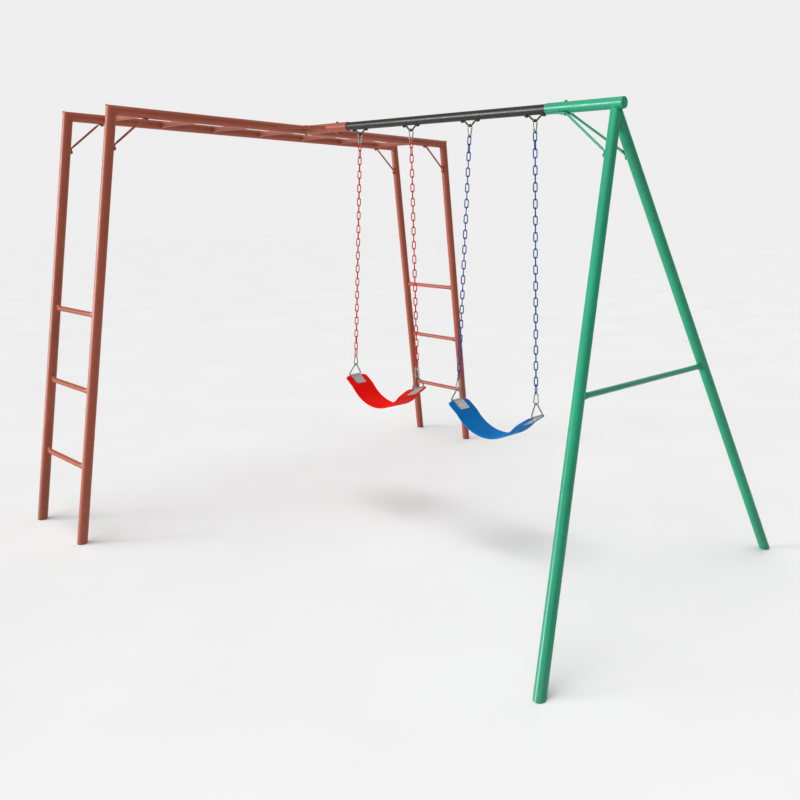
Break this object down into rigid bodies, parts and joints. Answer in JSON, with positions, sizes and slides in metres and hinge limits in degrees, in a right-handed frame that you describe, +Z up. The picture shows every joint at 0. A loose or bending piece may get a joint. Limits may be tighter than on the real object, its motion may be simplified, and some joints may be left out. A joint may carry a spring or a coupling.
{
  "type": "swing set",
  "caption": "Playground swing set: overhead ladder climbing frame and A-frame carrying one beam with belt swings hung on long-link chains.",
  "frame": {"origin": "on the ground, middle of the area the set stands on", "axes": "+X along the swing beam towards the A-frame, +Y along the overhead ladder's rails, +Z up"},
  "size_m": [2.808, 2.6668, 1.978],
  "materials": {
    "red_paint": "satin brick-red paint on steel tube",
    "black_paint": "satin charcoal paint on steel tube",
    "green_paint": "semi-gloss emerald paint on steel tube",
    "red_bolts": "bolt heads painted with the frame",
    "green_bolts": "bolt heads painted with the frame",
    "zinc": "bright zinc plate",
    "red_chain": "gloss coating on long-link chain",
    "blue_chain": "gloss coating on long-link chain",
    "red_belt": "smooth flexible moulded belt",
    "blue_belt": "smooth flexible moulded belt"
  },
  "bodies": {
    "frame": {"a_frame_brace": "green_paint", "a_frame_brace_bolts": "green_bolts", "a_frame_crossbar": "green_paint", "a_frame_foot_caps": "green_paint", "a_leg_far": "green_paint", "a_leg_near": "green_paint", "apex_end_cap": "green_paint", "apex_tube": "green_paint", "beam_clamp_bolt": "red_bolts", "beam_stub": "red_paint", "climbing_foot_caps": "red_paint", "corner_brace_bolts": "red_bolts", "corner_braces": "red_paint", "far_rail": "red_paint", "hanger_1": "black_paint", "hanger_2": "black_paint", "hanger_3": "black_paint", "hanger_4": "black_paint", "ladder_rungs_left": "red_paint", "ladder_rungs_right": "red_paint", "leg_far_left": "red_paint", "leg_far_right": "red_paint", "leg_near_left": "red_paint", "leg_near_right": "red_paint", "near_rail": "red_paint", "overhead_rungs": "red_paint", "stub_braces": "red_paint", "swing_beam": "black_paint"},
    "red_chains": {"red_upper_hook_left": "zinc", "red_chain_left": "red_chain", "red_lower_hook_left": "zinc", "red_upper_hook_right": "zinc", "red_chain_right": "red_chain", "red_lower_hook_right": "zinc"},
    "red_seat": {"red_triangle_rings": "zinc", "red_seat_plates": "zinc", "red_seat_rivets": "zinc", "red_belt_seat": "red_belt"},
    "red_upper_gate_left": {"red_upper_gate_left": "zinc"},
    "red_lower_gate_left": {"red_lower_gate_left": "zinc"},
    "red_upper_gate_right": {"red_upper_gate_right": "zinc"},
    "red_lower_gate_right": {"red_lower_gate_right": "zinc"},
    "blue_chains": {"blue_upper_hook_left": "zinc", "blue_chain_left": "blue_chain", "blue_lower_hook_left": "zinc", "blue_upper_hook_right": "zinc", "blue_chain_right": "blue_chain", "blue_lower_hook_right": "zinc"},
    "blue_seat": {"blue_triangle_rings": "zinc", "blue_seat_plates": "zinc", "blue_seat_rivets": "zinc", "blue_belt_seat": "blue_belt"},
    "blue_upper_gate_left": {"blue_upper_gate_left": "zinc"},
    "blue_lower_gate_left": {"blue_lower_gate_left": "zinc"},
    "blue_upper_gate_right": {"blue_upper_gate_right": "zinc"},
    "blue_lower_gate_right": {"blue_lower_gate_right": "zinc"}
  },
  "joints": [
    {"name": "red_swing", "type": "hinge", "parent": "frame", "child": "red_chains", "pos_m": [-0.30349, 0, 1.905], "axis": [1, 0, 0], "range_deg": [-60, 60]},
    {"name": "red_seat_tilt", "type": "hinge", "parent": "red_chains", "child": "red_seat", "pos_m": [-0.30349, 0, 0.728], "axis": [1, 0, 0], "range_deg": [-50, 50]},
    {"name": "red_upper_gate_left_pivot", "type": "hinge", "parent": "red_chains", "child": "red_upper_gate_left", "pos_m": [-0.48798, -0.00795, 1.87003], "axis": [-0.9991, 0, 0.0424], "range_deg": [0, 22], "stiffness_Nm_per_rad": 0.02, "springref_deg": -17.19},
    {"name": "red_lower_gate_left_pivot", "type": "hinge", "parent": "red_chains", "child": "red_lower_gate_left", "pos_m": [-0.54264, 0, 0.7706], "axis": [0, -1, 0], "range_deg": [0, 22], "stiffness_Nm_per_rad": 0.02, "springref_deg": -17.19},
    {"name": "red_upper_gate_right_pivot", "type": "hinge", "parent": "red_chains", "child": "red_upper_gate_right", "pos_m": [-0.119, -0.00795, 1.87003], "axis": [-0.9991, 0, -0.0424], "range_deg": [0, 22], "stiffness_Nm_per_rad": 0.02, "springref_deg": -17.19},
    {"name": "red_lower_gate_right_pivot", "type": "hinge", "parent": "red_chains", "child": "red_lower_gate_right", "pos_m": [-0.06434, 0, 0.7706], "axis": [0, 1, 0], "range_deg": [0, 22], "stiffness_Nm_per_rad": 0.02, "springref_deg": -17.19},
    {"name": "blue_swing", "type": "hinge", "parent": "frame", "child": "blue_chains", "pos_m": [0.43751, 0, 1.905], "axis": [1, 0, 0], "range_deg": [-60, 60]},
    {"name": "blue_seat_tilt", "type": "hinge", "parent": "blue_chains", "child": "blue_seat", "pos_m": [0.43751, 0, 0.711], "axis": [1, 0, 0], "range_deg": [-50, 50]},
    {"name": "blue_upper_gate_left_pivot", "type": "hinge", "parent": "blue_chains", "child": "blue_upper_gate_left", "pos_m": [0.25405, -0.00795, 1.87003], "axis": [-0.9991, 0, 0.0418], "range_deg": [0, 22], "stiffness_Nm_per_rad": 0.02, "springref_deg": -17.19},
    {"name": "blue_lower_gate_left_pivot", "type": "hinge", "parent": "blue_chains", "child": "blue_lower_gate_left", "pos_m": [0.19933, 0, 0.7536], "axis": [0, -1, 0], "range_deg": [0, 22], "stiffness_Nm_per_rad": 0.02, "springref_deg": -17.19},
    {"name": "blue_upper_gate_right_pivot", "type": "hinge", "parent": "blue_chains", "child": "blue_upper_gate_right", "pos_m": [0.62098, -0.00795, 1.87003], "axis": [-0.9991, 0, -0.0418], "range_deg": [0, 22], "stiffness_Nm_per_rad": 0.02, "springref_deg": -17.19},
    {"name": "blue_lower_gate_right_pivot", "type": "hinge", "parent": "blue_chains", "child": "blue_lower_gate_right", "pos_m": [0.67569, 0, 0.7536], "axis": [0, 1, 0], "range_deg": [0, 22], "stiffness_Nm_per_rad": 0.02, "springref_deg": -17.19}
  ]
}
